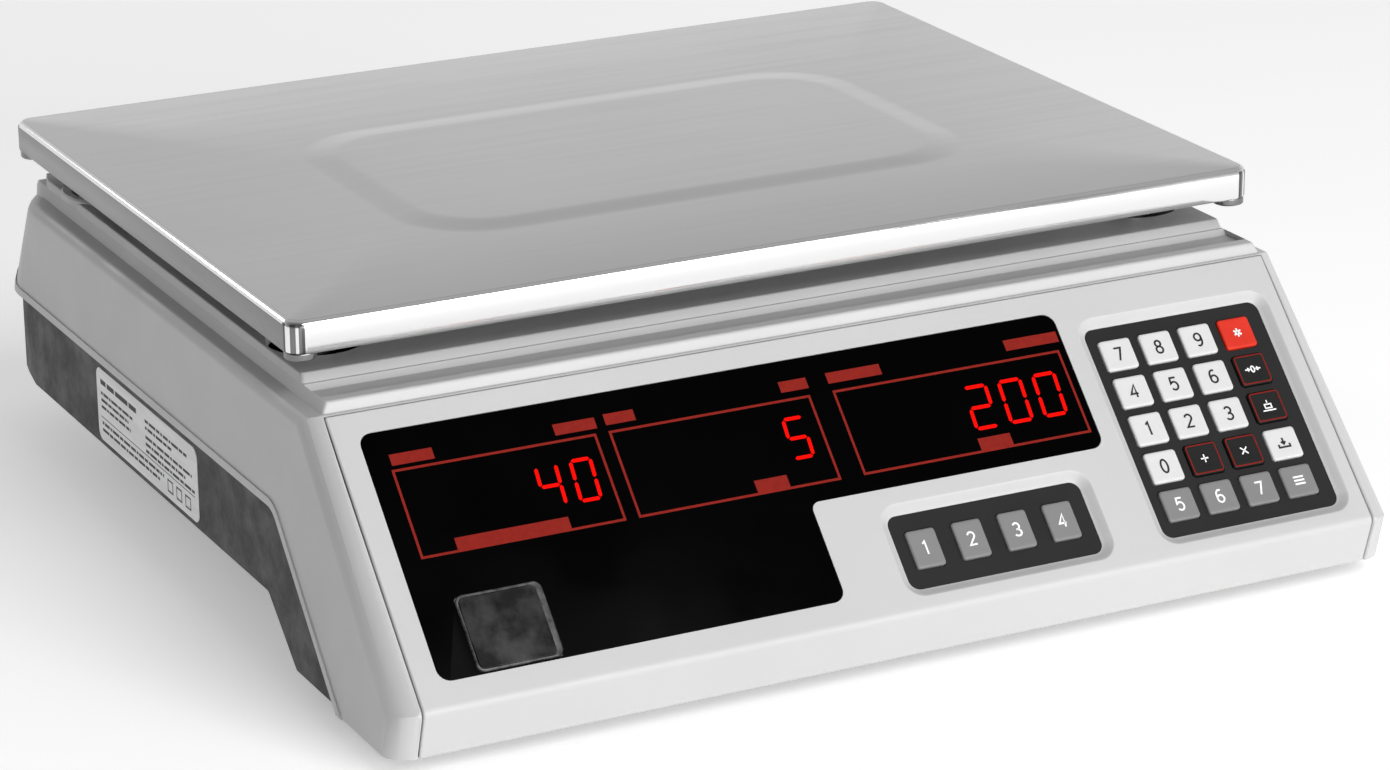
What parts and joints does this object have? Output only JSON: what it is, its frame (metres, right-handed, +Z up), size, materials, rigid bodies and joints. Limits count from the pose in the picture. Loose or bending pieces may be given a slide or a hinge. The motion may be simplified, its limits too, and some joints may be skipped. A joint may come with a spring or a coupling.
{
  "type": "retail price scale",
  "caption": "Low counter price scale with a lift-off stainless pan, sloped operator panel with digit display and sprung keys, rear display, load cell platform and levelling feet.",
  "frame": {"origin": "on the counter, under the middle of the scale's overall box", "axes": "+X to the operator's right, +Y towards the customer side, +Z up"},
  "size_m": [0.35, 0.364, 0.1177],
  "materials": {
    "cover_plastic": "light grey moulded ABS, fine satin",
    "base_plastic": "charcoal moulded ABS, sand textured",
    "stainless": "satin stainless sheet",
    "display_glass": "black tinted acrylic",
    "smoked_window": "smoked acrylic",
    "level_vial": "tinted acrylic with a printed ring",
    "keypad_mat": "dark grey printed film",
    "key_white": "light grey moulded key",
    "key_grey": "mid grey moulded key",
    "key_black": "black moulded key with a red outline",
    "key_red": "orange red moulded key",
    "circuit_board": "green solder mask",
    "led_block": "white digit block",
    "label": "silver grey printed label",
    "battery_case": "dark grey sealed case",
    "transformer_core": "varnished laminations and winding",
    "black_plastic": "black moulded",
    "aluminium": "milled",
    "steel_screw": "zinc plated",
    "spider_steel": "plated steel plate",
    "rubber": "black rubber",
    "legend_ink": "printed legends",
    "display_print": "dull red print on the display",
    "led_red": "lit segment"
  },
  "bodies": {
    "root": {"top_cover": "cover_plastic", "front_fascia": "cover_plastic", "display_lens": "display_glass", "level_window": "smoked_window", "spirit_level": "level_vial", "display_board": "circuit_board", "front_digits": "led_block", "keypad_mat": "keypad_mat", "memory_mat": "keypad_mat", "keypad_board": "circuit_board", "rear_lens": "display_glass", "rear_display_board": "circuit_board", "rear_digits": "led_block", "base_tray": "base_plastic", "rating_label": "label", "battery_door": "base_plastic", "battery": "battery_case", "transformer": "transformer_core", "main_board": "circuit_board", "mains_inlet": "black_plastic", "switch_housing": "black_plastic", "load_cell": "aluminium", "cell_foot_block": "aluminium", "cell_bolts": "steel_screw", "cover_screws": "steel_screw"},
    "platform": {"cell_top_block": "aluminium", "platform_spider": "spider_steel", "platform_bolts": "steel_screw", "pan_posts": "aluminium", "pan_cushions": "rubber"},
    "pan": {"pan": "stainless"},
    "switch_rocker": {"switch_rocker": "black_plastic"},
    "foot_front_left": {"foot_front_left": "rubber"},
    "foot_front_right": {"foot_front_right": "rubber"},
    "foot_rear_left": {"foot_rear_left": "rubber"},
    "foot_rear_right": {"foot_rear_right": "rubber"},
    "key_7": {"key_7": "key_white"},
    "key_8": {"key_8": "key_white"},
    "key_9": {"key_9": "key_white"},
    "key_star": {"key_star": "key_red"},
    "key_4": {"key_4": "key_white"},
    "key_5": {"key_5": "key_white"},
    "key_6": {"key_6": "key_white"},
    "key_zero_set": {"key_zero_set": "key_black"},
    "key_1": {"key_1": "key_white"},
    "key_2": {"key_2": "key_white"},
    "key_3": {"key_3": "key_white"},
    "key_tare": {"key_tare": "key_black"},
    "key_0": {"key_0": "key_white"},
    "key_add": {"key_add": "key_black"},
    "key_clear": {"key_clear": "key_black"},
    "key_save": {"key_save": "key_white"},
    "key_m5": {"key_m5": "key_grey"},
    "key_m6": {"key_m6": "key_grey"},
    "key_m7": {"key_m7": "key_grey"},
    "key_func": {"key_func": "key_grey"},
    "key_m1": {"key_m1": "key_grey"},
    "key_m2": {"key_m2": "key_grey"},
    "key_m3": {"key_m3": "key_grey"},
    "key_m4": {"key_m4": "key_grey"}
  },
  "joints": [
    {"name": "platform_deflect", "type": "slide", "parent": "root", "child": "platform", "axis": [0, 0, -1], "range_m": [0, 0.001], "stiffness_N_per_m": 400000, "springref_m": -0.00006, "deforming": ["load_cell"]},
    {"name": "pan_lift", "type": "slide", "parent": "platform", "child": "pan", "axis": [0, 0, 1], "range_m": [0, 0.04]},
    {"name": "power_rocker", "type": "hinge", "parent": "root", "child": "switch_rocker", "pos_m": [0.167, 0.05, 0.041], "axis": [0, 0, 1], "range_deg": [0, 20]},
    {"name": "foot_front_left_screw", "type": "slide", "parent": "root", "child": "foot_front_left", "axis": [0, 0, -1], "range_m": [0, 0.006]},
    {"name": "foot_front_right_screw", "type": "slide", "parent": "root", "child": "foot_front_right", "axis": [0, 0, -1], "range_m": [0, 0.006]},
    {"name": "foot_rear_left_screw", "type": "slide", "parent": "root", "child": "foot_rear_left", "axis": [0, 0, -1], "range_m": [0, 0.006]},
    {"name": "foot_rear_right_screw", "type": "slide", "parent": "root", "child": "foot_rear_right", "axis": [0, 0, -1], "range_m": [0, 0.006]},
    {"name": "key_7_press", "type": "slide", "parent": "root", "child": "key_7", "axis": [0, 0.7145, -0.6997], "range_m": [0, 0.0008], "stiffness_N_per_m": 1500},
    {"name": "key_8_press", "type": "slide", "parent": "root", "child": "key_8", "axis": [0, 0.7145, -0.6997], "range_m": [0, 0.0008], "stiffness_N_per_m": 1500},
    {"name": "key_9_press", "type": "slide", "parent": "root", "child": "key_9", "axis": [0, 0.7145, -0.6997], "range_m": [0, 0.0008], "stiffness_N_per_m": 1500},
    {"name": "key_star_press", "type": "slide", "parent": "root", "child": "key_star", "axis": [0, 0.7145, -0.6997], "range_m": [0, 0.0008], "stiffness_N_per_m": 1500},
    {"name": "key_4_press", "type": "slide", "parent": "root", "child": "key_4", "axis": [0, 0.7145, -0.6997], "range_m": [0, 0.0008], "stiffness_N_per_m": 1500},
    {"name": "key_5_press", "type": "slide", "parent": "root", "child": "key_5", "axis": [0, 0.7145, -0.6997], "range_m": [0, 0.0008], "stiffness_N_per_m": 1500},
    {"name": "key_6_press", "type": "slide", "parent": "root", "child": "key_6", "axis": [0, 0.7145, -0.6997], "range_m": [0, 0.0008], "stiffness_N_per_m": 1500},
    {"name": "key_zero_set_press", "type": "slide", "parent": "root", "child": "key_zero_set", "axis": [0, 0.7145, -0.6997], "range_m": [0, 0.0008], "stiffness_N_per_m": 1500},
    {"name": "key_1_press", "type": "slide", "parent": "root", "child": "key_1", "axis": [0, 0.7145, -0.6997], "range_m": [0, 0.0008], "stiffness_N_per_m": 1500},
    {"name": "key_2_press", "type": "slide", "parent": "root", "child": "key_2", "axis": [0, 0.7145, -0.6997], "range_m": [0, 0.0008], "stiffness_N_per_m": 1500},
    {"name": "key_3_press", "type": "slide", "parent": "root", "child": "key_3", "axis": [0, 0.7145, -0.6997], "range_m": [0, 0.0008], "stiffness_N_per_m": 1500},
    {"name": "key_tare_press", "type": "slide", "parent": "root", "child": "key_tare", "axis": [0, 0.7145, -0.6997], "range_m": [0, 0.0008], "stiffness_N_per_m": 1500},
    {"name": "key_0_press", "type": "slide", "parent": "root", "child": "key_0", "axis": [0, 0.7145, -0.6997], "range_m": [0, 0.0008], "stiffness_N_per_m": 1500},
    {"name": "key_add_press", "type": "slide", "parent": "root", "child": "key_add", "axis": [0, 0.7145, -0.6997], "range_m": [0, 0.0008], "stiffness_N_per_m": 1500},
    {"name": "key_clear_press", "type": "slide", "parent": "root", "child": "key_clear", "axis": [0, 0.7145, -0.6997], "range_m": [0, 0.0008], "stiffness_N_per_m": 1500},
    {"name": "key_save_press", "type": "slide", "parent": "root", "child": "key_save", "axis": [0, 0.7145, -0.6997], "range_m": [0, 0.0008], "stiffness_N_per_m": 1500},
    {"name": "key_m5_press", "type": "slide", "parent": "root", "child": "key_m5", "axis": [0, 0.7145, -0.6997], "range_m": [0, 0.0008], "stiffness_N_per_m": 1500},
    {"name": "key_m6_press", "type": "slide", "parent": "root", "child": "key_m6", "axis": [0, 0.7145, -0.6997], "range_m": [0, 0.0008], "stiffness_N_per_m": 1500},
    {"name": "key_m7_press", "type": "slide", "parent": "root", "child": "key_m7", "axis": [0, 0.7145, -0.6997], "range_m": [0, 0.0008], "stiffness_N_per_m": 1500},
    {"name": "key_func_press", "type": "slide", "parent": "root", "child": "key_func", "axis": [0, 0.7145, -0.6997], "range_m": [0, 0.0008], "stiffness_N_per_m": 1500},
    {"name": "key_m1_press", "type": "slide", "parent": "root", "child": "key_m1", "axis": [0, 0.7145, -0.6997], "range_m": [0, 0.0008], "stiffness_N_per_m": 1500},
    {"name": "key_m2_press", "type": "slide", "parent": "root", "child": "key_m2", "axis": [0, 0.7145, -0.6997], "range_m": [0, 0.0008], "stiffness_N_per_m": 1500},
    {"name": "key_m3_press", "type": "slide", "parent": "root", "child": "key_m3", "axis": [0, 0.7145, -0.6997], "range_m": [0, 0.0008], "stiffness_N_per_m": 1500},
    {"name": "key_m4_press", "type": "slide", "parent": "root", "child": "key_m4", "axis": [0, 0.7145, -0.6997], "range_m": [0, 0.0008], "stiffness_N_per_m": 1500}
  ]
}
